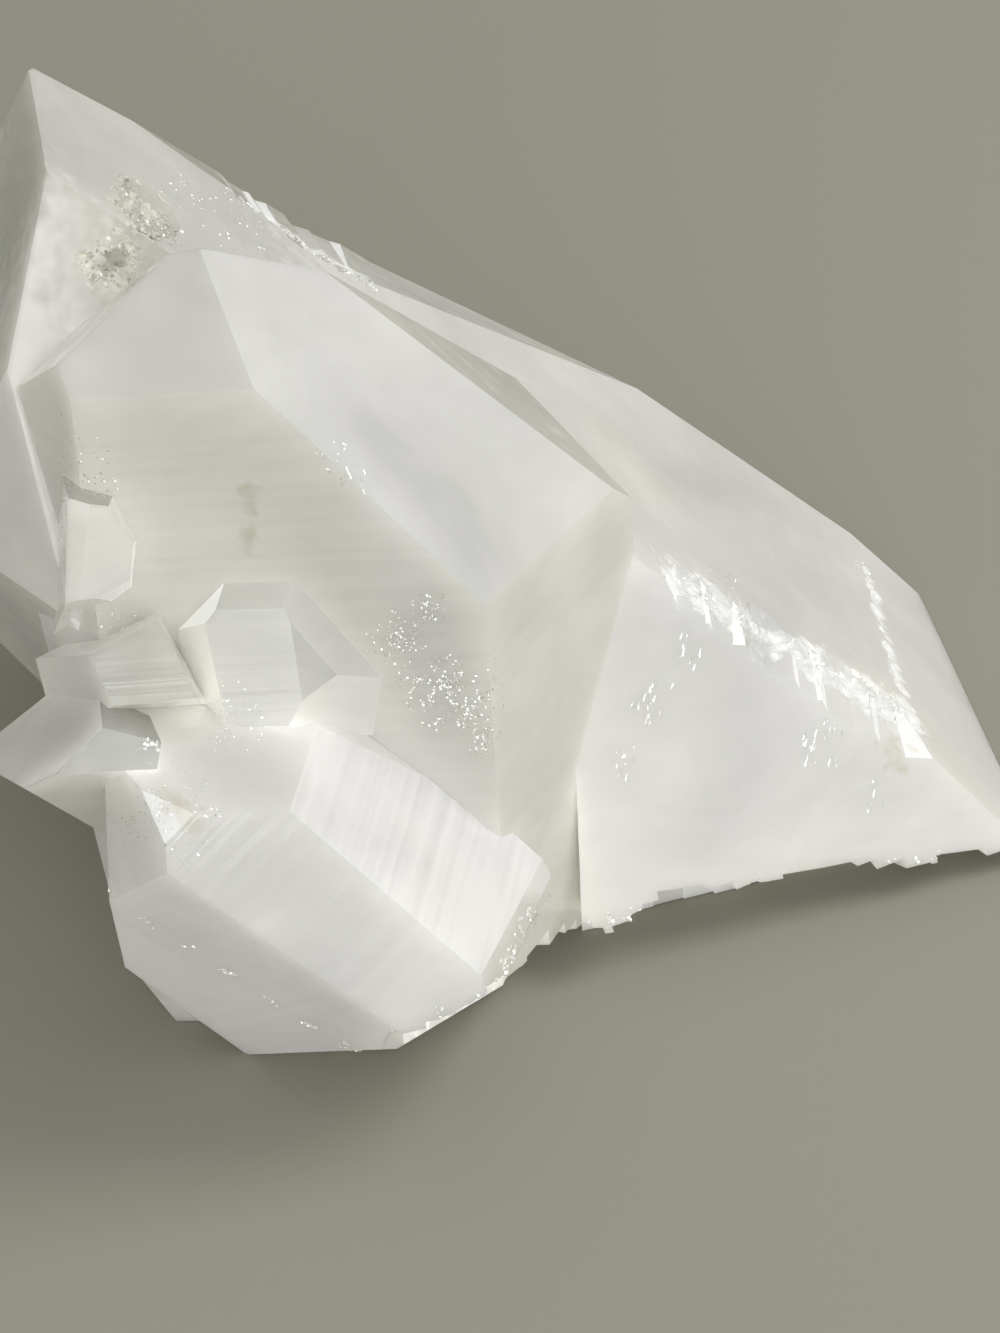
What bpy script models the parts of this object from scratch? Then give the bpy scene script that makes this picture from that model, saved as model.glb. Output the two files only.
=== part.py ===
"""Quartz cluster: intergrown quartz crystals, joined in one solid and cut off flat at the base.

Every crystal is the space inside a few flat faces.  The faces of a quartz crystal always meet
at the same angles: six prism faces stand 60 degrees apart around the long axis, and above each
of them a pyramid face leans in by 51.8 degrees from the axis.  Only the distance of each face
from the middle of the crystal differs, so a crystal is given by where it stands, how it is
turned and how far out its faces lie.

Lengths are in millimetres and angles in degrees.  +Z is up, and the cluster rests on the flat
cut at z = 0.  A direction is given by its heading, from +X towards +Y, and its rise above level.
"""
import math
import random

import bmesh
import bpy
from mathutils import Matrix, Vector

MILLIMETRE = 0.001
PYRAMID_LEAN = 51.786           # between the long axis and a pyramid face's outward direction
STOCK_SIZE = 400.0              # the block that the faces of one crystal are cut from
BASE_HEIGHT = 0.0               # the level of the flat cut that the cluster rests on

# Each crystal: its centre, its turn (heading and rise of the long axis, roll about it), the
# distance of each numbered prism face, the distance of each pyramid face at the tip, and its
# other facets, which grew out of true or broke off, as (heading, rise, distance).

# The tall crystal in the middle.  Its front face is number 0.
TALL = {
    "centre": (-15.0, -8.0, 3.0),
    "turn": (125.5, 84.9, 54.8),
    "prism": {0: 21.4, 1: 24.4, 2: 28.0, 3: 24.0, 4: 26.0, 5: 28.6},
    "tip": {4: 60.0},
    "facets": [(-92.0, 39.5, 55.9), (-28.0, 40.4, 44.8), (24.6, 45.2, 49.1),
               (104.1, 37.8, 43.5), (162.9, 44.1, 62.2), (-167.7, -30.6, 20.2),
               (-166.2, -7.7, 25.6)],
}

# The long crystal behind it, which slopes down to the right.  Face 0 is on top, face 1 in front.
# Its upper end broke off in four facets.
LONG = {
    "centre": (9.3, 18.3, 6.9),
    "turn": (-0.4, -37.6, 82.8),
    "prism": {0: 24.0, 1: 32.4, 2: 38.4, 3: 30.0, 4: 27.0, 5: 34.0},
    "tip": {1: 56.0},
    "facets": [(58.9, 45.8, 34.4), (25.5, 48.5, 28.3), (9.5, 43.9, 27.0), (-140.0, -25.0, 43.0),
               (190.0, 20.0, 76.5), (158.0, 31.0, 83.0), (216.0, 4.0, 67.0), (172.0, -8.0, 70.0)],
}

# The crystal that leans out in front.  Face 0 is the striated one, face 5 the front one.
FRONT = {
    "centre": (-23.4, -27.6, 19.5),
    "turn": (173.4, 45.3, 86.2),
    "prism": {0: 18.0, 1: 13.8, 2: 14.0, 3: 14.0, 5: 21.9},
    "tip": {0: 19.4, 5: 26.5, 4: 19.0, 3: 24.0},
    "facets": [(-114.7, -23.3, 14.3), (-47.0, -41.1, 23.1), (-15.8, -17.9, 26.8),
               (-15.4, 15.0, 25.0), (-86.7, -49.1, 19.4), (8.3, 49.1, 17.7), (178.0, 0.0, 12.9)],
}

# Four small crystals that grew on the front and the left edge of the tall one.
BUD = {
    "centre": (-22.0, -25.0, 40.0),
    "turn": (125.5, 84.9, 54.8),
    "prism": {3: 8.0, 4: 12.0},
    "tip": {},
    "facets": [(-91.3, 21.3, 7.0), (-62.5, 22.7, 7.8), (-33.6, 33.7, 8.3), (-95.4, 68.0, 10.1),
               (-172.0, 42.0, 9.8), (-139.4, 6.0, 7.7), (-53.8, -1.6, 7.8), (-90.0, -48.0, 6.2)],
}
LEFT_BUD = {
    "centre": (-34.0, -29.0, 41.0),
    "turn": (125.5, 84.9, 54.8),
    "prism": {3: 10.0},
    "tip": {},
    "facets": [(-89.6, 31.6, 5.7), (-147.7, -5.8, 4.5), (142.6, 54.8, 5.2), (16.9, 22.6, 4.8),
               (-82.0, -47.3, 2.6)],
}
SMOKY_BUD = {
    "centre": (-39.0, -30.0, 33.0),
    "turn": (125.5, 84.9, 54.8),
    "prism": {3: 10.0},
    "tip": {},
    "facets": [(46.0, 64.0, 7.2), (-77.0, 26.0, 13.5), (169.0, 48.0, 4.8), (10.0, -16.0, 3.6),
               (-83.0, -38.7, 4.8), (180.0, -10.0, 12.0), (-130.7, -41.1, 5.6)],
}
EDGE_BUD = {
    "centre": (-38.0, -26.0, 54.0),
    "turn": (125.5, 84.9, 54.8),
    "prism": {3: 10.0},
    "tip": {},
    "facets": [(-60.7, -6.2, 3.7), (52.6, 63.8, 5.8), (9.9, 21.8, 4.3), (-4.3, -7.6, 4.1),
               (-51.2, -37.1, 4.3), (-171.0, 5.0, 2.5), (-70.8, -47.4, 4.6), (-100.0, 0.0, 4.5)],
}

# Three crystals low on the back, leaning out from under the long one.
BACK_POINT = {
    "centre": (-12.0, 44.0, 10.0),
    "turn": (118.0, 41.0, 20.0),
    "prism": {0: 9.0, 1: 9.8, 2: 8.6, 3: 9.0, 4: 9.6, 5: 8.8},
    "tip": {0: 17.0, 1: 19.5, 2: 16.2, 3: 18.8, 4: 16.8, 5: 20.0},
    "facets": [],
}
BACK_SIDE_POINT = {
    "centre": (-32.0, 38.0, 9.0),
    "turn": (150.0, 33.0, 5.0),
    "prism": {0: 6.6, 1: 6.0, 2: 6.8, 3: 6.2, 4: 6.4, 5: 7.0},
    "tip": {0: 13.0, 1: 15.2, 2: 12.4, 3: 14.6, 4: 12.8, 5: 14.9},
    "facets": [],
}
BACK_LOW_POINT = {
    "centre": (12.0, 46.0, 6.0),
    "turn": (80.0, 24.0, 40.0),
    "prism": {0: 5.6, 1: 6.2, 2: 5.4, 3: 6.0, 4: 5.8, 5: 6.4},
    "tip": {0: 11.2, 1: 12.8, 2: 10.6, 3: 12.6, 4: 11.0, 5: 12.4},
    "facets": [],
}

# Where the long crystal grew against the tall one, its corner is cut back to a steep plane, as
# far up, left and back as the tall crystal fills.
CONTACT_POINT = (7.5, -13.4, 23.0)
CONTACT_FACING = (0.3, 2.4)
CONTACT_TOP = 44.0
CONTACT_LEFT = -12.0
CONTACT_BACK = -6.0

# The lower rims broke off in steps: x, y and the height of the rim from there on.  The bites
# face the heading, and neighbours overlap a little so that no sliver stands between them.
TALL_RIM_HEADING = -30.0
TALL_RIM = [
    (-2.0, -32.5, 4.4), (0.2, -30.3, 5.4), (1.6, -27.8, 4.8), (3.0, -25.3, 5.4),
    (4.6, -22.8, 3.8), (6.2, -20.1, 3.0), (7.4, -18.1, 1.8), (9.0, -15.4, 1.0),
]
LONG_RIM_HEADING = -68.0
LONG_RIM = [
    (6.9, -23.2, 6.8), (8.7, -22.9, 6.3), (9.9, -22.7, 5.3), (12.1, -21.6, 5.9),
    (13.9, -20.4, 6.6), (15.2, -19.6, 7.0), (16.8, -18.6, 7.6),
    (18.6, -17.7, 7.4), (20.4, -17.2, 6.8), (23.5, -16.4, 6.1), (26.2, -15.5, 5.2),
    (27.4, -14.8, 5.8), (29.9, -13.6, 5.9), (32.5, -12.4, 5.6), (36.3, -10.9, 4.9),
    (38.4, -10.4, 4.2), (41.7, -9.6, 3.4), (44.4, -8.5, 3.1), (46.5, -7.5, 3.6),
    (50.5, -6.0, 2.4), (54.0, -4.5, 1.6),
]
FRONT_RIM_HEADING = -52.0
FRONT_RIM = [
    (-9.2, -49.5, 15.3), (-7.6, -49.0, 15.2), (-6.2, -48.5, 16.1), (-4.9, -48.0, 16.5),
    (-3.4, -47.5, 17.3), (-1.8, -47.0, 17.6), (-0.3, -46.5, 18.6), (1.2, -46.0, 19.2),
]
BITE_OVERLAP = 0.8
BITE_INWARD = 7.0
BITE_OUTWARD = 9.0
BITE_RISE = 68.0                # how steeply the broken underside leans in
BITE_SWING = 22.0               # how far the bites turn left and right of the heading
BITE_NOD = 9.0                  # how far the rise varies

# The chipped edges: start, end, the way the edge faces, facets along it, depths, how far the
# facets turn, and a seed.
RIDGE_CHIPS = ((17.5, 0.6, 33.9), (42.5, 3.4, 14.2), (-7.0, 51.0), 6, (0.5, 1.0), 4.0, 3)
CREST_CHIPS = ((-27.0, 25.0, 64.2), (-15.4, 24.5, 55.2), (34.0, 52.0), 5, (0.1, 0.6), 8.0, 4)
CHIP_BLOCK = 9.0                # how far a chipping block reaches out of the edge
CHIP_SPLAY = 68.0               # how far its ends lean outwards
CHIP_STRAY = 0.4                # how far its ends stray, as a share of its length

# A dip where the crest of the long crystal broke: a point of its bottom, and the ways that its
# two sides face.
DIP_POINT = (-15.3, 23.3, 55.7)
DIP_LEFT_FACING = (27.6, 48.1)
DIP_RIGHT_FACING = (37.5, 54.6)

# Pits in the top of the long crystal: centre, size across, depth, spin and seed.
PIT_FACING = (11.3, 51.8)
PITS = [
    ((-34.0, 5.2, 73.0), (9.0, 15.0), 1.5, 75.0, 21),
    ((-36.9, -4.3, 72.2), (4.6, 7.6), 1.3, 60.0, 26),
]

# The material: clear, colourless quartz.
QUARTZ_COLOUR = (0.92, 0.92, 0.90, 1.0)
QUARTZ_ROUGHNESS = 0.12
QUARTZ_METALLIC = 0.0
QUARTZ_REFRACTION = 1.544
QUARTZ_TRANSMISSION = 0.6

for old_object in list(bpy.data.objects):
    bpy.data.objects.remove(old_object, do_unlink=True)


def direction(heading, rise):
    """Unit vector for a heading and a rise."""
    around = math.radians(heading)
    up = math.radians(rise)
    return Vector((math.cos(around) * math.cos(up), math.sin(around) * math.cos(up), math.sin(up)))


def crystal_frame(heading, rise, roll):
    """Turn that takes a crystal's own axes (+Z along it, +X out of face 0) to the cluster's."""
    axis = direction(heading, rise)
    level = Vector((0, 0, 1)).cross(axis).normalized()
    steep = axis.cross(level)
    out = level * math.cos(math.radians(roll)) + steep * math.sin(math.radians(roll))
    side = axis.cross(out)
    return Matrix((out, side, axis)).transposed()


def prism_direction(turn, number):
    """Outward direction of one of the six prism faces, in the cluster."""
    around = math.radians(60.0 * number)
    return turn @ Vector((math.cos(around), math.sin(around), 0))


def pyramid_direction(turn, number):
    """Outward direction of the pyramid face above one of the prism faces, in the cluster."""
    around = math.radians(60.0 * number)
    lean = math.radians(PYRAMID_LEAN)
    across = math.sin(lean)
    return turn @ Vector((math.cos(around) * across, math.sin(around) * across, math.cos(lean)))


def new_object(name, shape):
    """Object made of a bmesh that is drawn in millimetres."""
    bmesh.ops.scale(shape, vec=(MILLIMETRE, MILLIMETRE, MILLIMETRE), verts=shape.verts[:])
    mesh = bpy.data.meshes.new(name)
    shape.to_mesh(mesh)
    shape.free()
    made = bpy.data.objects.new(name, mesh)
    bpy.context.scene.collection.objects.link(made)
    return made


def solid_inside(name, planes):
    """Closed solid on the inner side of every plane, each a (point, outward direction) pair."""
    solid = bmesh.new()
    bmesh.ops.create_cube(solid, size=STOCK_SIZE)
    for point, outward in planes:
        everything = solid.verts[:] + solid.edges[:] + solid.faces[:]
        cut = bmesh.ops.bisect_plane(solid, geom=everything, dist=0.0001, plane_co=point,
                                     plane_no=outward, clear_outer=True)
        rim = [item for item in cut["geom_cut"] if isinstance(item, bmesh.types.BMEdge)]
        if rim:
            bmesh.ops.edgeloop_fill(solid, edges=rim)
    bmesh.ops.remove_doubles(solid, verts=solid.verts[:], dist=0.002)
    bmesh.ops.recalc_face_normals(solid, faces=solid.faces[:])
    return new_object(name, solid)


def crystal(name, shape):
    """One crystal, from its centre, its turn and the distances of its faces."""
    centre = Vector(shape["centre"])
    turn = crystal_frame(*shape["turn"])
    faces = [(prism_direction(turn, number), distance) for number, distance in shape["prism"].items()]
    faces += [(pyramid_direction(turn, number), distance) for number, distance in shape["tip"].items()]
    faces += [(direction(heading, rise), distance) for heading, rise, distance in shape["facets"]]
    return solid_inside(name, [(centre + outward * distance, outward) for outward, distance in faces])


def pit(centre, across, deep, spin, seed):
    """Rough many-sided lump to cut a pit with: it lies flat on the face it is cut from."""
    chance = random.Random(seed)
    lump = bmesh.new()
    bmesh.ops.create_icosphere(lump, subdivisions=1, radius=1.0)
    for corner in lump.verts:
        corner.co *= chance.uniform(0.78, 1.12)
    size = Matrix.Diagonal((across[0] / 2, across[1] / 2, deep, 1))
    lay = direction(*PIT_FACING).to_track_quat("Z", "Y").to_matrix().to_4x4()
    turn = Matrix.Rotation(math.radians(spin), 4, "Z")
    bmesh.ops.transform(lump, matrix=Matrix.Translation(Vector(centre)) @ lay @ turn @ size,
                        verts=lump.verts[:])
    return new_object("pit", lump)


def rim_bites(steps, heading):
    """Blocks that bite a lower rim off in steps."""
    outward = direction(heading, 0)
    bites = []
    for number, (low, high) in enumerate(zip(steps, steps[1:])):
        start = Vector((low[0], low[1], 0))
        end = Vector((high[0], high[1], 0))
        along = (end - start).normalized()
        swing = BITE_SWING * math.sin(5.1 * number)
        nod = BITE_NOD * math.cos(3.7 * number)
        underside = direction(heading + 180 + swing, BITE_RISE + nod)
        bites.append(solid_inside("bite", [
            (start - along * BITE_OVERLAP, -along),
            (end + along * BITE_OVERLAP, along),
            (start.lerp(end, 0.5) + Vector((0, 0, low[2])), underside),
            (start - outward * BITE_INWARD, -outward),
            (start + outward * BITE_OUTWARD, outward)]))
    return bites


def edge_chips(start, end, facing, count, depths, turning, seed):
    """Blocks that break a row of uneven scallops along a sharp edge; they widen on their way out."""
    chance = random.Random(seed)
    first = Vector(start)
    last = Vector(end)
    along = (last - first).normalized()
    outward = direction(*facing)
    splay = math.radians(CHIP_SPLAY)
    chips = []
    for number in range(count):
        depth = outward * chance.uniform(*depths)
        low = first.lerp(last, (number + chance.uniform(0.0, CHIP_STRAY)) / count) - depth
        high = first.lerp(last, (number + 1 - chance.uniform(0.0, CHIP_STRAY)) / count) - depth
        bottom = direction(facing[0] + chance.uniform(-turning, turning),
                           facing[1] + chance.uniform(-turning, turning))
        chips.append(solid_inside("chip", [
            (low.lerp(high, 0.5), -bottom),
            (low, -along * math.cos(splay) - outward * math.sin(splay)),
            (high, along * math.cos(splay) - outward * math.sin(splay)),
            (low + outward * CHIP_BLOCK, outward)]))
    return chips


def join(target, others, operation):
    """Exact Boolean of each of the others on the target; the others are used up."""
    for other in others:
        step = target.modifiers.new("join", "BOOLEAN")
        step.operation = operation
        step.solver = "EXACT"
        step.object = other
        bpy.context.view_layer.update()
        graph = bpy.context.evaluated_depsgraph_get()
        result = bpy.data.meshes.new_from_object(target.evaluated_get(graph))
        target.modifiers.clear()
        target.data = result
        bpy.data.objects.remove(other, do_unlink=True)


def quartz():
    """Clear quartz: colourless, smooth, and bending light as quartz does."""
    material = bpy.data.materials.new("clear_quartz")
    material.use_nodes = True
    shader = material.node_tree.nodes["Principled BSDF"]
    shader.inputs["Base Color"].default_value = QUARTZ_COLOUR
    shader.inputs["Roughness"].default_value = QUARTZ_ROUGHNESS
    shader.inputs["Metallic"].default_value = QUARTZ_METALLIC
    shader.inputs["IOR"].default_value = QUARTZ_REFRACTION
    shader.inputs["Transmission Weight"].default_value = QUARTZ_TRANSMISSION
    return material


cluster = crystal("quartz_cluster", TALL)
long_crystal = crystal("long_crystal", LONG)
join(cluster, rim_bites(TALL_RIM, TALL_RIM_HEADING), "DIFFERENCE")

contact = solid_inside("contact", [
    (Vector(CONTACT_POINT), direction(*CONTACT_FACING)),
    (Vector((0, 0, CONTACT_TOP)), direction(0, 90)),
    (Vector((CONTACT_LEFT, 0, 0)), direction(180, 0)),
    (Vector((0, CONTACT_BACK, 0)), direction(90, 0))])
join(long_crystal, [contact] + rim_bites(LONG_RIM, LONG_RIM_HEADING), "DIFFERENCE")
dip = solid_inside("dip", [
    (Vector(DIP_POINT), -direction(*DIP_LEFT_FACING)),
    (Vector(DIP_POINT), -direction(*DIP_RIGHT_FACING))])
join(long_crystal, [dip] + edge_chips(*RIDGE_CHIPS) + edge_chips(*CREST_CHIPS), "DIFFERENCE")
join(long_crystal, [pit(*measures) for measures in PITS], "DIFFERENCE")

front_crystal = crystal("front_crystal", FRONT)
join(front_crystal, rim_bites(FRONT_RIM, FRONT_RIM_HEADING), "DIFFERENCE")
smaller = [crystal("smaller", shape) for shape in
           (BUD, LEFT_BUD, SMOKY_BUD, EDGE_BUD, BACK_POINT, BACK_SIDE_POINT, BACK_LOW_POINT)]
join(cluster, [long_crystal, front_crystal] + smaller, "UNION")

ground = solid_inside("ground", [(Vector((0, 0, BASE_HEIGHT)), direction(0, 90))])
join(cluster, [ground], "DIFFERENCE")
cluster.data.name = "quartz_cluster"
cluster.data.materials.clear()
cluster.data.materials.append(quartz())
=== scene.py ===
# %% [markdown]
# # A quartz cluster
#
# This lesson dresses one cluster of milky quartz.  Its solid shape is already given: one block
# of crystals that grew into each other and were cut off flat underneath.  What is left to make
# is everything that the light does: the gloss of the growth faces, the fine lines across them,
# the milk and the veils inside, the brown stains, and the bright crumbs where an edge broke.

# %% Load the solid
import math
import random

import bmesh
import bpy
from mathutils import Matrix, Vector, noise


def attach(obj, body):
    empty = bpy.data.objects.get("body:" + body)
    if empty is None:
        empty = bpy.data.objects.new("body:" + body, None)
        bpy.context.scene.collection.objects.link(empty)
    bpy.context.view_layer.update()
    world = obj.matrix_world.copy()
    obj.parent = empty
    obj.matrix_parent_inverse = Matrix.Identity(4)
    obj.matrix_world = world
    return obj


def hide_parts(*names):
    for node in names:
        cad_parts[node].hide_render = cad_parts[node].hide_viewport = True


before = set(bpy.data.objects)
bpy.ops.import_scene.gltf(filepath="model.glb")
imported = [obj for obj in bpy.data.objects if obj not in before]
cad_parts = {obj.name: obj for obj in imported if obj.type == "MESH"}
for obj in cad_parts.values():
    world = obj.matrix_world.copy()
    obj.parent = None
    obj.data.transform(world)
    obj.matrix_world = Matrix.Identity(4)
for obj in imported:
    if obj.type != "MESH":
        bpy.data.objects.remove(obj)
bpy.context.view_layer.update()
scene = bpy.context.scene
MM = 0.001

# %% [markdown]
# ## Directions in a crystal
#
# Quartz grows along one axis.  Six prism faces stand round it and carry fine lines that always
# run straight across the axis; the pyramid faces at the tip lean in by 51.8 degrees and are
# smooth.  So all we need to know of each crystal is where its axis points, as a heading from +X
# towards +Y and a rise above level, both in degrees.

# %% Axes of the crystals
def direction(heading, rise):
    """Unit vector for a heading and a rise in degrees."""
    around = math.radians(heading)
    up = math.radians(rise)
    return Vector((math.cos(around) * math.cos(up), math.sin(around) * math.cos(up), math.sin(up)))


AXES = {
    "tall": direction(125.5, 84.9),
    "long": direction(-0.4, -37.6),
    "front": direction(173.4, 45.3),
}
print("axes:", {name: tuple(round(v, 2) for v in axis) for name, axis in AXES.items()})

# %% [markdown]
# ## A way to write shader maths
#
# A node tree is easier to read as an expression.  `Value` wraps one socket that carries a number,
# and its operators add Math nodes, so `1 - mask * 0.5` builds three nodes.  `Tree.add` makes any
# other node: first its settings, then the values or links of its sockets.  The same two classes
# serve shaders and geometry nodes.

# %% Expressions that build nodes
class Value:
    """One number in a node tree."""

    def __init__(self, tree, socket):
        self.tree = tree
        self.socket = socket

    def math(self, operation, *others, first=None):
        inputs = [self if first is None else first, *others]
        if first is not None:
            inputs.append(self)
        return Value(self.tree, self.tree.add("ShaderNodeMath", {"operation": operation},
                                              dict(enumerate(inputs))).outputs[0])

    def __add__(self, other):
        return self.math("ADD", other)

    def __sub__(self, other):
        return self.math("SUBTRACT", other)

    def __rsub__(self, other):
        return self.math("SUBTRACT", first=other)

    def __mul__(self, other):
        return self.math("MULTIPLY", other)

    def __truediv__(self, other):
        return self.math("DIVIDE", other)

    __radd__ = __add__
    __rmul__ = __mul__

    def clamped(self):
        return self.math("MAXIMUM", 0.0).math("MINIMUM", 1.0)

    def most(self, other):
        return self.math("MAXIMUM", other)

    def step(self, low, high):
        """0 below low, 1 above high, smooth between; low may be the larger of the two."""
        node = self.tree.add("ShaderNodeMapRange", {"interpolation_type": "SMOOTHSTEP"},
                             {"Value": self, "From Min": low, "From Max": high})
        return Value(self.tree, node.outputs["Result"])


class Tree:
    """A node tree that is filled by expressions."""

    def __init__(self, nodes_and_links):
        self.tree = nodes_and_links

    def put(self, socket, value):
        source = value.socket if isinstance(value, Value) else value
        if isinstance(source, bpy.types.NodeSocket):
            self.tree.links.new(source, socket)
        else:
            socket.default_value = source

    def add(self, kind, settings=None, sockets=None):
        node = self.tree.nodes.new(kind)
        for name, value in (settings or {}).items():
            setattr(node, name, value)
        for name, value in (sockets or {}).items():
            self.put(node.inputs[name], value)
        return node

    def value(self, kind, settings=None, sockets=None, out=0):
        return Value(self, self.add(kind, settings, sockets).outputs[out])

    def vector(self, operation, *inputs, out=0):
        """A Vector Math node's output."""
        return self.add("ShaderNodeVectorMath", {"operation": operation},
                        dict(enumerate(inputs))).outputs[out]

    def noise(self, place, scale, detail=2.0, roughness=0.5, dimensions="3D"):
        sockets = {"Scale": scale, "Detail": detail, "Roughness": roughness}
        sockets["W" if dimensions == "1D" else "Vector"] = place
        return self.value("ShaderNodeTexNoise", {"noise_dimensions": dimensions}, sockets)

    def mix(self, share, first, second):
        """Mix of two colours; the colour sockets of the Mix node are numbers 6 and 7."""
        node = self.add("ShaderNodeMix", {"data_type": "RGBA"},
                        {"Factor": share, 6: first, 7: second})
        return node.outputs[2]


print("shader maths ready")

# %% [markdown]
# ## Which face is which
#
# Lines only grow on prism faces, and each crystal took up milk in its own way.  Every large face
# is therefore listed by the way it looks out, with the crystal it belongs to, how strongly it is
# lined, how milky it is and how warm its tint.  The milk of a face is partly painted light: it
# was also set to give the face the brightness that the light gives it, so the keel that faces
# down is milkier and brighter.  Faces that are small or narrow and aren't listed are breaks and
# worn edges: crushed quartz, which is white like crushed ice.  Face attributes carry all this
# to the material, so that one material is enough for the whole stone.

# %% Mark the faces
# The fourth number of each face, its milk, is partly painted light: besides the real milk it sets
# how bright the face looks, so the keel that faces down is milkier and brighter.
FACES = {
    "tall front": ("tall", (-89.8, 4.2), 0.30, 0.66, 0.75),
    "tall right": ("tall", (-29.6, 4.6), 0.18, 0.74, 1.0),
    "tall tip right": ("tall", (-28.0, 40.4), 0.0, 0.64, 0.25),
    "tall tip front": ("tall", (-92.0, 39.5), 0.0, 0.5, 0.5),
    "tall tip back": ("tall", (24.6, 45.2), 0.0, 0.85, 1.0),
    "long top": ("long", (11.3, 51.8), 0.12, 0.9, 0.7),
    "long front": ("long", (-65.6, 28.6), 0.1, 0.76, 0.35),
    "long tip": ("long", (9.5, 43.9), 0.0, 1.0, 0.5),
    "long bevel": ("long", (25.5, 48.5), 0.0, 0.7, 0.9),
    "front bright": ("front", (-11.9, 44.6), 1.0, 0.88, 0.15),
    "front side": ("front", (-77.3, 18.1), 0.25, 0.72, 0.2),
    "front keel": ("front", (-114.6, -23.6), 0.2, 0.95, 0.1),
    "bud front": ("tall", (-91.3, 21.3), 0.35, 0.4, 0.3),
    "bud middle": ("tall", (-62.5, 22.7), 0.2, 0.45, 0.3),
    "bud right": ("tall", (-33.6, 33.7), 0.1, 0.55, 0.4),
    "bud top": ("tall", (-95.4, 68.0), 0.0, 0.55, 0.6),
    "bud left": ("tall", (-139.4, 6.0), 0.2, 0.85, 0.4),
    "left bud front": ("tall", (-89.6, 31.6), 0.2, 0.45, 0.8),
    "smoky bud front": ("tall", (-77.0, 26.0), 0.1, 0.1, 0.5),
    "smoky bud top": ("tall", (46.0, 64.0), 0.1, 0.1, 0.5),
}
MATCH = math.cos(math.radians(3.0))
SMALL_AREA = 16.0 * MM ** 2
NARROW = 0.25 * MM
# Faces that aren't listed: faintly lined, fairly milky, neither warm nor cool.
PLAIN_LOOK = (0.05, 0.78, 0.5)
# Round the broken end of the long crystal small faces are grown ones, so they aren't crushed.
BROKEN_END = Vector((-31, 12, 70)) * MM
END_REACH = 15 * MM


def look_of(face):
    """Crystal, lining, milk with painted face brightness, warmth and crushing of a face of the
    skin.
    """
    for crystal, facing, lined, milk_and_painted_light, warm in FACES.values():
        if face.normal.dot(direction(*facing)) > MATCH:
            return crystal, lined, milk_and_painted_light, warm, 0.0
    area = face.calc_area()
    longest = max(edge.calc_length() for edge in face.edges)
    small = area < SMALL_AREA or area / longest < NARROW
    ended = (face.calc_center_median() - BROKEN_END).length < END_REACH
    return ("tall", *PLAIN_LOOK, 1.0 if small and not ended else 0.0)


def mark_faces(shape):
    """Write the look of every face into face layers; gives back the layer of the crushing."""
    axis_mark = shape.faces.layers.float_vector.new("growth_axis")
    marks = [shape.faces.layers.float.new(name) for name in ("lined", "milk_and_painted_light", "warm", "crushed")]
    for face in shape.faces:
        crystal, *look = look_of(face)
        face[axis_mark] = AXES[crystal]
        for mark, amount in zip(marks, look):
            face[mark] = amount
    return marks[-1]


# %% [markdown]
# ## The skin
#
# The solid arrives as loose triangles.  A copy is merged, and flat neighbours are dissolved, so
# that every growth face is one polygon again.  Real edges are never razor sharp: they carry a
# hair-fine worn line that catches the light.  A bevel of a tenth of a millimetre is made along
# every outward edge that isn't tiny, which is truer than a texture, because each edge glints by
# its own angle.

# %% Merge the solid and soften its edges
EDGE_WEAR = 0.11 * MM
WORN_ANGLE = math.radians(24)
SHORTEST_WORN = 1.2 * MM
SAME_CORNER = 0.004 * MM
SAME_FACE = math.radians(0.6)


def merged_copy(node):
    shape = bmesh.new()
    shape.from_mesh(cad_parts[node].data)
    bmesh.ops.remove_doubles(shape, verts=shape.verts[:], dist=SAME_CORNER)
    bmesh.ops.dissolve_limit(shape, angle_limit=SAME_FACE, verts=shape.verts[:],
                             edges=shape.edges[:])
    return shape


def new_piece(name, mesh):
    piece = bpy.data.objects.new(name, mesh)
    scene.collection.objects.link(piece)
    return piece


skin_shape = merged_copy("quartz_cluster")
plain_faces = len(skin_shape.faces)
worn = [edge for edge in skin_shape.edges
        if len(edge.link_faces) == 2 and edge.calc_face_angle_signed(0) > WORN_ANGLE
        and edge.calc_length() > SHORTEST_WORN]
bmesh.ops.bevel(skin_shape, geom=worn, offset=EDGE_WEAR, offset_type="WIDTH", segments=1,
                affect="EDGES", clamp_overlap=True)
crushed_mark = mark_faces(skin_shape)
crushed_area = sum(face.calc_area() for face in skin_shape.faces if face[crushed_mark] > 0)
bmesh.ops.triangulate(skin_shape, faces=skin_shape.faces[:])
print("growth faces:", plain_faces, "worn edges:", len(worn), "triangles:", len(skin_shape.faces),
      "crushed:", round(crushed_area / MM ** 2), "square mm")

# %% [markdown]
# ## Where the even milk is broken
#
# Near the broken end of the long crystal a hollow has crumbled grey.  Three edges were knocked
# until they went white.  Rusty water has left brown stains in cracks.  Each is a place on the
# stone, given by a line and how far it reaches from it.  The skin is split finer there, every
# corner gets its share of each mark, and the crumbled corners sink in, so that the damage is
# real relief and not only a colour.

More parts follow.
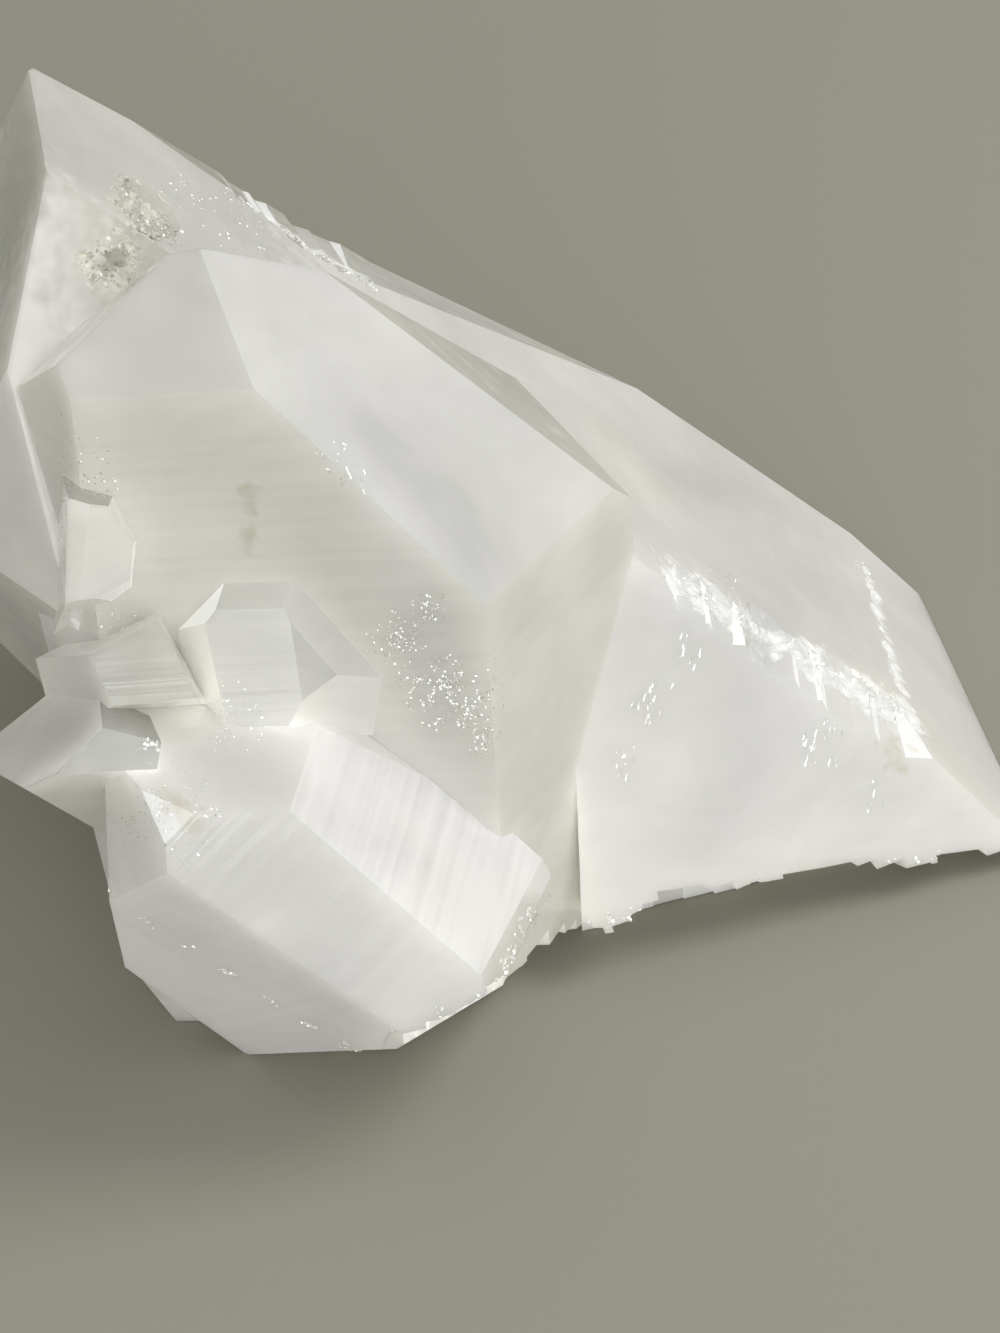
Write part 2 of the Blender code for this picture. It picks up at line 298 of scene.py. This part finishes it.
# %% Split the skin where it is damaged and crumble it
HOLLOW = [((-34.6, 7.6, 73.0), (-34.0, 1.5, 73.4), 2.7),
          ((-34.2, 2.0, 73.2), (-36.9, -4.6, 72.0), 2.2),
          ((-38.4, 0.6, 71.5), (-36.2, 1.2, 72.6), 1.3)]
BROKEN = [((18.5, 0.4, 33.0), (43.5, 4.0, 13.8), 2.9),
          ((-23.5, 28.0, 61.2), (-14.5, 27.0, 54.4), 1.6),
          ((41.7, 38.0, 9.4), (43.6, 4.6, 13.8), 0.9)]
STAIN = [((41.2, -3.3, 14.2), (42.2, -3.0, 14.8), 2.0),
         ((-29.9, -44.2, 38.7), (-28.0, -46.1, 37.2), 1.3),
         ((-23.0, -25.3, 59.8), (-23.2, -25.4, 58.4), 0.9),
         ((-23.3, -25.8, 55.4), (-23.3, -25.8, 54.0), 0.9)]
FINEST = 0.9 * MM
SPLIT_ROUNDS = 20
RAGGED_REACH = 1.5
EDGE_SCALE = 0.55
EDGE_ROUGHNESS = (0.6, 2.1, 4)
EDGE_RAGGED = 0.9
EDGE_CONTRAST = 2.5


def off_line(place, start, end):
    """Distance in mm of a place on the stone from a line between two points in mm."""
    at = place / MM
    way = Vector(end) - Vector(start)
    share = max(0.0, min(1.0, (at - Vector(start)).dot(way) / way.length_squared))
    return (at - Vector(start) - way * share).length


def share_of(marks, place):
    """1 on the marked lines, fading out raggedly at their reach."""
    ragged = noise.fractal(place / MM * EDGE_SCALE, *EDGE_ROUGHNESS) * EDGE_RAGGED
    nearest = min(off_line(place, start, end) / reach for start, end, reach in marks)
    return max(0.0, min(1.0, (1.0 - nearest - ragged) * EDGE_CONTRAST))


def is_near(face):
    """True if a damaged place may lie within the triangle."""
    middle = face.calc_center_median()
    spread = max((corner.co - middle).length for corner in face.verts) / MM
    return any(off_line(middle, start, end) < reach * RAGGED_REACH + spread
               for start, end, reach in HOLLOW + BROKEN + STAIN)


def length(edge):
    return edge.calc_length()


for split_round in range(SPLIT_ROUNDS):
    near = [face for face in skin_shape.faces
            if max(length(edge) for edge in face.edges) > FINEST and is_near(face)]
    if not near:
        break
    split = list(dict.fromkeys(max(face.edges, key=length) for face in near))
    bmesh.ops.subdivide_edges(skin_shape, edges=split, cuts=1, use_single_edge=True)
    unsplit = [face for face in skin_shape.faces if len(face.verts) > 3]
    bmesh.ops.triangulate(skin_shape, faces=unsplit)
skin_shape.normal_update()
print("split", split_round, "times:", len(skin_shape.faces), "triangles")

# %% [markdown]
# Each corner of the fine mesh now gets its share of hollow, break and stain, and sinks in where
# the stone crumbled.  Two noises make the depth uneven: one in blocks, as broken grains lie, and
# one that flows.

# %% Crumble the damaged places
HOLLOW_DEPTH = 0.9 * MM
BROKEN_DEPTH = 0.34 * MM
BLOCKS = 1.1
FLOW = 0.9
damage = {name: skin_shape.verts.layers.float.new(name) for name in ("hollow", "broken", "stain")}
sunk = []
for corner in skin_shape.verts:
    for name, marks in (("hollow", HOLLOW), ("broken", BROKEN), ("stain", STAIN)):
        corner[damage[name]] = share_of(marks, corner.co)
    at = corner.co / MM
    crumbs = 0.5 + 0.5 * noise.cell(at * BLOCKS) + 0.5 * noise.noise(at * FLOW)
    depth = max(corner[damage["hollow"]] * HOLLOW_DEPTH, corner[damage["broken"]] * BROKEN_DEPTH)
    sunk.append((corner, corner.normal * depth * crumbs))
for corner, way in sunk:
    corner.co -= way
print("crumbled corners:", sum(way.length > 0 for corner, way in sunk))

# %% [markdown]
# Blender doesn't promise in which order its tools leave corners and triangles, and grains that
# are scattered by chance depend on that order.  The mesh is therefore written anew, sorted by
# place, so that every run of this lesson gives the same stone.

# %% Write the skin in a fixed order
def ordered_mesh(name, shape):
    """Mesh whose corners and triangles stand in order of place, with the layers of the shape."""
    corners = sorted(shape.verts, key=lambda corner: tuple(corner.co))
    number = {corner: count for count, corner in enumerate(corners)}

    def numbers(face):
        around = [number[corner] for corner in face.verts]
        first = around.index(min(around))
        return tuple(around[first:] + around[:first])

    faces = sorted(shape.faces, key=numbers)
    mesh = bpy.data.meshes.new(name)
    mesh.from_pydata([corner.co for corner in corners], [], [numbers(face) for face in faces])
    for domain, items, layers in (("FACE", faces, shape.faces.layers.float),
                                  ("POINT", corners, shape.verts.layers.float)):
        for label, layer in layers.items():
            made = mesh.attributes.new(label, "FLOAT", domain)
            made.data.foreach_set("value", [item[layer] for item in items])
    axis_mark = shape.faces.layers.float_vector["growth_axis"]
    axes = mesh.attributes.new("growth_axis", "FLOAT_VECTOR", "FACE")
    axes.data.foreach_set("vector", [part for face in faces for part in face[axis_mark]])
    return mesh


skin_mesh = ordered_mesh("quartz_skin", skin_shape)
open_edges = sum(len(edge.link_faces) != 2 for edge in skin_shape.edges)
skin_shape.free()
skin = new_piece("quartz_skin", skin_mesh)
print("triangles:", len(skin_mesh.polygons), "open edges:", open_edges)

# %% [markdown]
# ## Quartz
#
# Pure quartz is as clear as glass and bends light by 1.544.  What makes it milky is a fog of
# tiny bubbles, thicker where the crystal grew fast.  Two shaders will be mixed by a cloud: clear
# quartz, which passes light straight through, and milk, which lets it wander a few millimetres
# below the skin before it comes out again.  The cloud is wispy, so that faces next to each other
# differ a little, as they do on the real stone.  Lines follow the distance along the growth axis
# of each crystal, so that they run straight across it on every face.

# %% Cloud, lines and marks of the quartz
CLOUD_BEND = (14.0, 14.0, 14.0)
WISP_STRETCH = (0.6, 1.0, 1.6)
quartz = bpy.data.materials.new("milky_quartz")
quartz.use_nodes = True
quartz.node_tree.nodes.clear()
paint = Tree(quartz.node_tree)
object_place = paint.add("ShaderNodeTexCoord").outputs["Object"]
place = paint.vector("MULTIPLY", object_place, (1 / MM, 1 / MM, 1 / MM))


def mark(name):
    return paint.value("ShaderNodeAttribute", {"attribute_name": name}, out="Fac")


def spot(centre, reach, ragged=0.5):
    """1 at a place of the cluster, fading to 0 at its ragged edge; both in mm."""
    away = Value(paint, paint.vector("DISTANCE", place, centre, out="Value"))
    return (away / reach + (crumble - 0.5) * ragged * 2).step(1.0, 0.55)


warp = paint.add("ShaderNodeTexNoise", {}, {"Vector": place, "Scale": 0.05, "Detail": 0.0})
bent = paint.vector("ADD", place, paint.vector("MULTIPLY", warp.outputs["Color"], CLOUD_BEND))
cloud = paint.noise(bent, 0.045, 1.0, 0.45)
wisps = paint.noise(paint.vector("MULTIPLY", bent, WISP_STRETCH), 0.22, 1.0, 0.6)
crumble = paint.noise(place, 0.5, 1.0, 0.65)
grain = paint.noise(place, 2.4, 2.0, 0.6)
axis_here = paint.add("ShaderNodeAttribute", {"attribute_name": "growth_axis"}).outputs["Vector"]
along = Value(paint, paint.vector("DOT_PRODUCT", place, axis_here, out="Value"))
wander = paint.noise(place, 0.12, 0.0)
coarse_lines = paint.noise(along + wander * 0.4, 0.7, 1.0, 0.6, "1D")
fine_lines = paint.noise(along + wander * 0.2, 3.0, 1.0, 0.7, "1D")
lines = (coarse_lines - 0.5) + (fine_lines - 0.5) * wander * 0.5
lined_here = mark("lined")
crushed_here = mark("crushed")
hollow = mark("hollow")
broken = crushed_here.most(mark("broken") * 0.85)
stain = mark("stain") * (crumble * 0.7)
print("cloud and lines:", len(paint.tree.nodes), "nodes so far")

# %% [markdown]
# Colour, milk and gloss come from those patterns.  Milk is cool or warm; breaks are white, the
# hollow is grey between its crumbs, and stains are the olive brown of rusty water.  The broken
# end of the long crystal is clearer and greener than the rest.

# %% Milk, colour and gloss
COOL_MILK = (0.85, 0.84, 0.835, 1)
WARM_MILK = (0.85, 0.84, 0.775, 1)
WHITE_CRUSH = (0.92, 0.92, 0.905, 1)
GREY_CRUMBLE = (0.64, 0.63, 0.55, 1)
RUST = (0.58, 0.52, 0.34, 1)
COLOURLESS = (0.985, 0.985, 0.98, 1)
GREEN_DEPTH = (0.93, 0.94, 0.87, 1)
CLEAR_END = (-36.0, 14.0, 72.0)
CLEAR_REACH = 26.0

clear_end = spot(CLEAR_END, CLEAR_REACH, 0.3)
# The milky mark is both the milk of each face and painted light: it was set face by face to give
# each face the brightness that the light gives it, as on the milkier, brighter keel.
milk = mark("milk_and_painted_light") - clear_end * 0.3 + (cloud - 0.5) * 0.7 + (wisps - 0.5) * 0.12
milk = (milk * 0.8 + 0.18 + lines * lined_here * 0.2).clamped().most(broken).most(hollow)
warmth = (mark("warm") + clear_end * 0.5 + (paint.noise(bent, 0.04, 1.0) - 0.5) * 1.6).clamped()
milk_colour = paint.mix(warmth, COOL_MILK, WARM_MILK)
milk_colour = paint.mix(broken, milk_colour, WHITE_CRUSH)
milk_colour = paint.mix(hollow * (0.45 + grain * 0.8), milk_colour, GREY_CRUMBLE)
milk_colour = paint.mix(stain, milk_colour, RUST)
clear_colour = paint.mix(warmth, COLOURLESS, GREEN_DEPTH)
gloss = 0.1 + lined_here * 0.1 + wisps.step(0.45, 0.8) * 0.08 + broken * 0.3 + hollow * 0.35
gloss = gloss.clamped()
print("colours:", len(paint.tree.nodes), "nodes so far")

# %% [markdown]
# The lines are far too fine for the mesh, so they are a bump of a tenth of a millimetre.  The
# milk scatters light below the skin; of the two ways that Cycles offers, Burley's is the quicker
# one.  A little absorption inside the stone makes deep places greener, as thick glass is.

# %% The two shaders of the quartz
QUARTZ_BENDING = 1.544
LINE_HEIGHT = 0.12
MILK_DEPTH = 7.0 * MM
MILK_REDS = (1.0, 1.0, 0.94)
DEEP_TINT = (0.93, 0.95, 0.90, 1)
DEEP_DENSITY = 15.0

relief = lines * lined_here * LINE_HEIGHT
bump = paint.add("ShaderNodeBump", {}, {"Strength": 1.0, "Distance": 1.0 * MM, "Height": relief})
surface = {"Roughness": gloss, "IOR": QUARTZ_BENDING, "Normal": bump.outputs["Normal"]}
milk_shader = paint.add("ShaderNodeBsdfPrincipled", {"subsurface_method": "BURLEY"}, {
    **surface, "Base Color": milk_colour, "Transmission Weight": 0.08, "Subsurface Weight": 0.9,
    "Subsurface Radius": MILK_REDS, "Subsurface Scale": MILK_DEPTH})
clear_shader = paint.add("ShaderNodeBsdfPrincipled", {}, {
    **surface, "Base Color": clear_colour, "Transmission Weight": 1.0})
blend = paint.add("ShaderNodeMixShader", {}, {
    0: milk, 1: clear_shader.outputs[0], 2: milk_shader.outputs[0]})
absorb = paint.add("ShaderNodeVolumeAbsorption", {}, {"Color": DEEP_TINT, "Density": DEEP_DENSITY})
paint.add("ShaderNodeOutputMaterial", {}, {
    "Surface": blend.outputs[0], "Volume": absorb.outputs[0]})
skin_mesh.materials.append(quartz)
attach(skin, "root")
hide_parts("quartz_cluster")
print("quartz:", len(paint.tree.nodes), "nodes")

# %% [markdown]
# ## Veils and crumbs
#
# Inside clear quartz healed cracks hang like veils: sheets of flat bubbles that flash when they
# catch the light.  And wherever an edge broke, crumbs of crushed quartz still sit in the break.
# Both are hundreds of tiny many-sided grains that follow the skin, so one small Geometry Nodes
# tree scatters them: it weighs every spot of the skin by its distance from a few named places,
# lays a grain there, turned and sized by chance, and makes real mesh of them all.

# %% A grain
def grain_mesh(name, size, seed, sides=5):
    """Small closed solid with two ends: a ring of uneven corners between two off-centre tips."""
    chance = random.Random(seed)
    length, width, thick = (v * MM / 2 for v in size)
    shape = bmesh.new()
    ring = []
    for number in range(sides):
        turn = math.tau * (number + chance.uniform(-0.3, 0.3)) / sides
        ring.append(shape.verts.new((math.cos(turn) * length * chance.uniform(0.7, 1.0),
                                     math.sin(turn) * width * chance.uniform(0.7, 1.0),
                                     thick * chance.uniform(-0.35, 0.35))))
    for way in (1, -1):
        tip = shape.verts.new((length * chance.uniform(-0.3, 0.3),
                               width * chance.uniform(-0.3, 0.3), thick * way))
        for number in range(sides):
            shape.faces.new((ring[number], ring[(number + 1) % sides], tip))
    bmesh.ops.recalc_face_normals(shape, faces=shape.faces[:])
    mesh = bpy.data.meshes.new(name)
    shape.to_mesh(mesh)
    shape.free()
    return mesh


# %% [markdown]
# The places are points on the stone with a reach, in millimetres.  The veil hangs in the tall
# crystal near its right edge, dust dulls the corners between crystals, streaks cross the smooth
# faces, and crumbs sit along the broken ridges and rims and in the grey hollow.

# %% Places to scatter grains on
def row(start, end, count, reach):
    """Places evenly spaced on a straight line, all with the same reach, in mm."""
    first = Vector(start)
    last = Vector(end)
    return [(tuple(first.lerp(last, number / (count - 1))), reach) for number in range(count)]


VEIL_PLACES = [
    ((-5.7, -26.8, 38.7), 5.6), ((-9.4, -26.4, 44.2), 3.6), ((-2.9, -27.0, 36.2), 4.6),
    ((-6.6, -26.2, 47.4), 2.6), ((-1.6, -27.2, 33.0), 2.4),
]
DUSTY_PLACES = [
    ((-28.0, 16.0, 66.0), 12.0), ((-15.5, -24.0, 63.4), 3.0), ((-38.8, -24.8, 62.0), 6.0),
    ((-36.9, -26.4, 47.0), 5.0), ((-25.0, -32.8, 39.0), 5.0), ((-35.0, -41.0, 34.5), 6.0),
    ((-30.0, -44.0, 38.0), 6.0), ((24.5, 8.0, 30.0), 5.0), ((1.5, -27.0, 40.0), 4.0),
    ((-38.0, -24.0, 54.0), 5.0), ((-33.5, -26.5, 41.5), 4.0), ((3.0, -24.0, 10.0), 5.0),
]
STREAK_PLACES = [
    ((15.2, -8.9, 24.7), 4.0), ((12.1, -13.0, 20.2), 3.6), ((19.3, -5.0, 28.1), 3.0),
    ((33.5, -5.5, 16.5), 4.2), ((38.4, -6.7, 10.8), 2.6), ((-13.5, -24.6, 61.5), 3.0),
]
CRUSHED_PLACES = (
    row((19.5, 1.2, 32.6), (42.0, 4.0, 15.0), 9, 2.3)
    + row((-25.5, 24.9, 63.0), (-13.5, 24.3, 54.0), 7, 2.4)
    + row((2.9, -32.5, 16.8), (-0.5, -44.5, 16.4), 5, 1.8)
    + row((-1.5, -47.0, 18.0), (-9.8, -48.5, 14.6), 3, 1.6)
    + row((8.3, -22.8, 6.4), (46.5, -7.5, 3.4), 15, 1.5)
    + row((-36.7, -40.6, 25.4), (-14.4, -43.5, 8.1), 7, 1.6)
    + [((41.7, 38.0, 9.4), 2.2), ((-32.1, -39.6, 41.5), 1.4)])
CRUMBLED_PLACES = [
    ((-34.0, 5.2, 73.0), 5.4), ((-36.9, -4.3, 72.2), 3.4), ((-34.6, 0.4, 73.0), 3.0),
    ((-35.6, 8.6, 73.6), 2.6), ((-31.8, 2.4, 71.8), 2.6), ((-38.6, -1.6, 73.6), 2.4),
]
print("places:", len(VEIL_PLACES), "of veil,", len(DUSTY_PLACES), "dusty,",
      len(STREAK_PLACES), "streaked,", len(CRUSHED_PLACES), "crushed,",
      len(CRUMBLED_PLACES), "crumbled")

# %% [markdown]
# The tree has named inputs: how many grains, how large, how far they tip out of the skin, which
# way they lie, and a seed.  It weighs the skin with the places, and ends in Realize Instances and
# Set Material.

# %% Scatter grains over the skin
def scatter(name, places, grain, material, density, sizes, tip, lie, sink, seed):
    """Grains on the skin round the places; density per square mm, lie and tip in degrees."""
    group = bpy.data.node_groups.new(name, "GeometryNodeTree")
    face = group.interface
    face.new_socket("Geometry", in_out="INPUT", socket_type="NodeSocketGeometry")
    given = {"Density": density / MM ** 2, "Smallest": sizes[0], "Largest": sizes[1],
             "Tip": math.radians(tip), "Lie": math.radians(lie[0]),
             "Lie Spread": math.radians(lie[1]), "Sink": sink * MM}
    for label in given:
        face.new_socket(label, in_out="INPUT", socket_type="NodeSocketFloat")
    face.new_socket("Seed", in_out="INPUT", socket_type="NodeSocketInt")
    face.new_socket("Geometry", in_out="OUTPUT", socket_type="NodeSocketGeometry")
    tree = Tree(group)
    inputs = tree.add("NodeGroupInput").outputs
    here = tree.add("GeometryNodeInputPosition").outputs[0]

    weight = None
    for centre, reach in places:
        centre = tuple(part * MM for part in centre)
        away = Value(tree, tree.vector("DISTANCE", here, centre, out="Value"))
        near = (1 - away / (reach * MM)).clamped()
        weight = near if weight is None else weight.most(near)
    patchy = tree.noise(here, 600.0, 2.0).step(0.4, 0.62)
    weight = weight.step(0.0, 1.0) * (0.15 + patchy * 0.85)

    points = tree.add("GeometryNodeDistributePointsOnFaces", {}, {
        "Mesh": inputs["Geometry"], "Density": inputs["Density"], "Seed": inputs["Seed"]})
    draw = tree.value("FunctionNodeRandomValue", {"data_type": "FLOAT"},
                      {"Seed": inputs["Seed"]}, out=1)
    tipped = Value(tree, inputs["Tip"])
    lying = Value(tree, inputs["Lie"])
    spread = Value(tree, inputs["Lie Spread"])
    low = tree.add("ShaderNodeCombineXYZ", {}, {0: tipped * -1, 1: tipped * -1, 2: lying - spread})
    high = tree.add("ShaderNodeCombineXYZ", {}, {0: tipped, 1: tipped, 2: lying + spread})
    chance = tree.add("FunctionNodeRandomValue", {"data_type": "FLOAT_VECTOR"},
                      {0: low.outputs[0], 1: high.outputs[0], "Seed": 1})
    turned = tree.add("FunctionNodeRotateRotation", {"rotation_space": "LOCAL"},
                      {0: points.outputs["Rotation"], 1: chance.outputs[0]})
    scale = tree.add("FunctionNodeRandomValue", {"data_type": "FLOAT"},
                     {2: inputs["Smallest"], 3: inputs["Largest"], "Seed": 2})
    shape = tree.add("GeometryNodeObjectInfo", {}, {"Object": grain})
    laid = tree.add("GeometryNodeInstanceOnPoints", {}, {
        "Points": points.outputs["Points"], "Selection": weight.math("GREATER_THAN", draw),
        "Instance": shape.outputs["Geometry"],
        "Rotation": turned.outputs[0], "Scale": scale.outputs[1]})
    below = tree.add("ShaderNodeCombineXYZ", {}, {2: Value(tree, inputs["Sink"]) * -1})
    sunk = tree.add("GeometryNodeTranslateInstances", {}, {"Instances": laid.outputs[0],
                                                           "Translation": below.outputs[0]})
    real = tree.add("GeometryNodeRealizeInstances", {}, {"Geometry": sunk.outputs[0]})
    dressed = tree.add("GeometryNodeSetMaterial", {}, {
        "Geometry": real.outputs[0], "Material": material})
    tree.add("NodeGroupOutput", {}, {"Geometry": dressed.outputs[0]})

    carrier = new_piece("carrier", skin_mesh)
    scattering = carrier.modifiers.new("scatter", "NODES")
    scattering.node_group = group
    given["Seed"] = seed
    for socket in face.items_tree:
        if socket.item_type == "SOCKET" and socket.in_out == "INPUT" and socket.name in given:
            scattering[socket.identifier] = given[socket.name]
    bpy.context.view_layer.update()
    graph = bpy.context.evaluated_depsgraph_get()
    mesh = bpy.data.meshes.new_from_object(carrier.evaluated_get(graph))
    bpy.data.objects.remove(carrier, do_unlink=True)
    mesh.name = name
    mesh.materials.clear()
    mesh.materials.append(material)
    piece = new_piece(name, mesh)
    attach(piece, "root")
    print(name, len(mesh.polygons), "triangles")
    return piece


# %% [markdown]
# A flat bubble inside quartz throws light back like a mirror, whatever it is that it mirrors, so
# its flakes are bright or grey by the way they lie.  Crushed quartz mixes such mirrors with
# white; the grey crumbs of the hollow are the same stone with dirt between them.

# %% Finishes of the grains
def grain_finish(name, bright, dull, roughness, mirror):
    material = bpy.data.materials.new(name)
    material.use_nodes = True
    material.node_tree.nodes.clear()
    tree = Tree(material.node_tree)
    grain_place = tree.vector("MULTIPLY", tree.add("ShaderNodeTexCoord").outputs["Object"],
                              (1 / MM, 1 / MM, 1 / MM))
    speckle = tree.noise(grain_place, 1.6, 3.0, 0.6).step(0.3, 0.7)
    shader = tree.add("ShaderNodeBsdfPrincipled", {}, {
        "Base Color": tree.mix(speckle, dull, bright), "Roughness": roughness * (0.5 + speckle),
        "Metallic": mirror, "IOR": QUARTZ_BENDING})
    tree.add("ShaderNodeOutputMaterial", {}, {"Surface": shader.outputs[0]})
    return material


BRIGHT = (0.99, 0.99, 0.98, 1)
DULL = (0.93, 0.93, 0.9, 1)
DUSTY = (0.85, 0.84, 0.78, 1)
DIRTY = (0.5, 0.49, 0.42, 1)
veil_finish = grain_finish("veil_mirror", BRIGHT, DULL, 0.16, 0.8)
white_finish = grain_finish("crushed_quartz", BRIGHT, DULL, 0.25, 0.4)
grey_finish = grain_finish("crumbled_quartz", DUSTY, DIRTY, 0.3, 0.3)
print("finishes:", veil_finish.name, white_finish.name, grey_finish.name)

# %% [markdown]
# Three grains serve five layers.  Each layer says where it lies, what it is made of, how many
# grains a square millimetre has at most, how their size varies, how far they tip and turn in
# degrees, how deep they sink in millimetres, and its seed.

# %% Lay the grains
def hidden_grain(name, size, seed):
    """A grain that is only the pattern for a scatter."""
    return bpy.data.objects.new(name, grain_mesh(name, size, seed))


flake = hidden_grain("flake", (0.8, 0.36, 0.08), 1)
needle = hidden_grain("needle", (1.5, 0.22, 0.07), 2)
crumb = hidden_grain("crumb", (0.7, 0.55, 0.42), 3)
LAYERS = {
    "veil_flakes": (VEIL_PLACES, flake, veil_finish, 18.0, (0.2, 0.8), 18, (90, 60), 0.0, 3),
    "dust_flakes": (DUSTY_PLACES, flake, veil_finish, 7.0, (0.2, 0.65), 28, (0, 180), 0.0, 5),
    "streak_needles": (STREAK_PLACES, needle, veil_finish, 3.0, (0.25, 1.1), 12, (62, 8), 0.0, 8),
    "crushed_crumbs": (CRUSHED_PLACES, crumb, white_finish, 9.0, (0.4, 1.2), 40, (0, 180), 0.06,
                       13),
    "hollow_crumbs": (CRUMBLED_PLACES, crumb, grey_finish, 9.0, (0.4, 1.4), 50, (0, 180), 0.1, 21),
}
for name, how in LAYERS.items():
    scatter(name, *how)

# %% [markdown]
# ## Floor, light and camera
#
# The cluster lies on a plain pale grey floor.  A hair of a gap below it keeps the cut face of the
# stone and the floor from lying in one plane, which would flicker.

# %% Floor
FLOOR_GAP = 0.1 * MM
FLOOR_REACH = 4.0
FLOOR_COLOUR = (0.30, 0.291, 0.234, 1)
floor_mesh = bpy.data.meshes.new("floor")
floor_corners = [(across * FLOOR_REACH, deep * FLOOR_REACH, -FLOOR_GAP)
                 for across, deep in ((-1, -1), (1, -1), (1, 1), (-1, 1))]
floor_mesh.from_pydata(floor_corners, [], [(0, 1, 2, 3)])
floor = new_piece("floor", floor_mesh)
floor_paint = bpy.data.materials.new("floor_paint")
floor_paint.use_nodes = True
floor_shader = floor_paint.node_tree.nodes["Principled BSDF"]
floor_shader.inputs["Base Color"].default_value = FLOOR_COLOUR
floor_shader.inputs["Roughness"].default_value = 0.85
floor_mesh.materials.append(floor_paint)
print("floor laid", FLOOR_GAP / MM, "mm below the base")

# %% [markdown]
# Milky stone looks its best in very soft light: the whole room glows, a softbox stands above to
# the right, and a wide one in front keeps the faces that look at us from going dull.  The room
# gives most of the light, so that no side of the stone is dark.

# %% Lights
ROOM_COLOUR = (0.99, 0.99, 1.0, 1)
ROOM_LIGHT = 0.575


def softbox(name, place, aim, size, power, colour):
    """Rectangular area light that looks at a point; metres and watts."""
    light = bpy.data.lights.new(name, "AREA")
    light.shape = "RECTANGLE"
    light.size, light.size_y = size
    light.energy = power
    light.color = colour
    lamp = bpy.data.objects.new(name, light)
    lamp.location = place
    lamp.rotation_euler = (Vector(aim) - Vector(place)).to_track_quat("-Z", "Y").to_euler()
    scene.collection.objects.link(lamp)


softbox("key", (0.62, 0.12, 0.7), (0, 0, 0.02), (0.5, 0.5), 3.9, (1.0, 0.99, 0.97))
softbox("fill", (0.15, -1.3, 0.36), (0, 0, 0.03), (1.4, 0.6), 9.0, (1.0, 1.0, 0.99))
world = bpy.data.worlds.new("studio")
world.use_nodes = True
room = world.node_tree.nodes["Background"]
room.inputs["Color"].default_value = ROOM_COLOUR
room.inputs["Strength"].default_value = ROOM_LIGHT
scene.world = world
scene.view_settings.view_transform = "Standard"

# %% [markdown]
# A long lens from arm's length flattens a small thing the way a portrait lens does, so that its
# crystals keep their true angles.

# %% Camera
LENS = 100.0
SENSOR = 36.0
LOOK_AT = Vector((0, 28, 3)) * MM
LOOK_DOWN = 35.0
LOOK_FROM = 417 * MM
camera_back = direction(-90, LOOK_DOWN)
camera_data = bpy.data.cameras.new("camera")
camera_data.lens = LENS
camera_data.sensor_width = SENSOR
camera = bpy.data.objects.new("camera", camera_data)
camera.location = LOOK_AT + camera_back * LOOK_FROM
camera.rotation_euler = (-camera_back).to_track_quat("-Z", "Y").to_euler()
scene.collection.objects.link(camera)
scene.camera = camera
print("camera at", [round(v / MM) for v in camera.location], "mm")
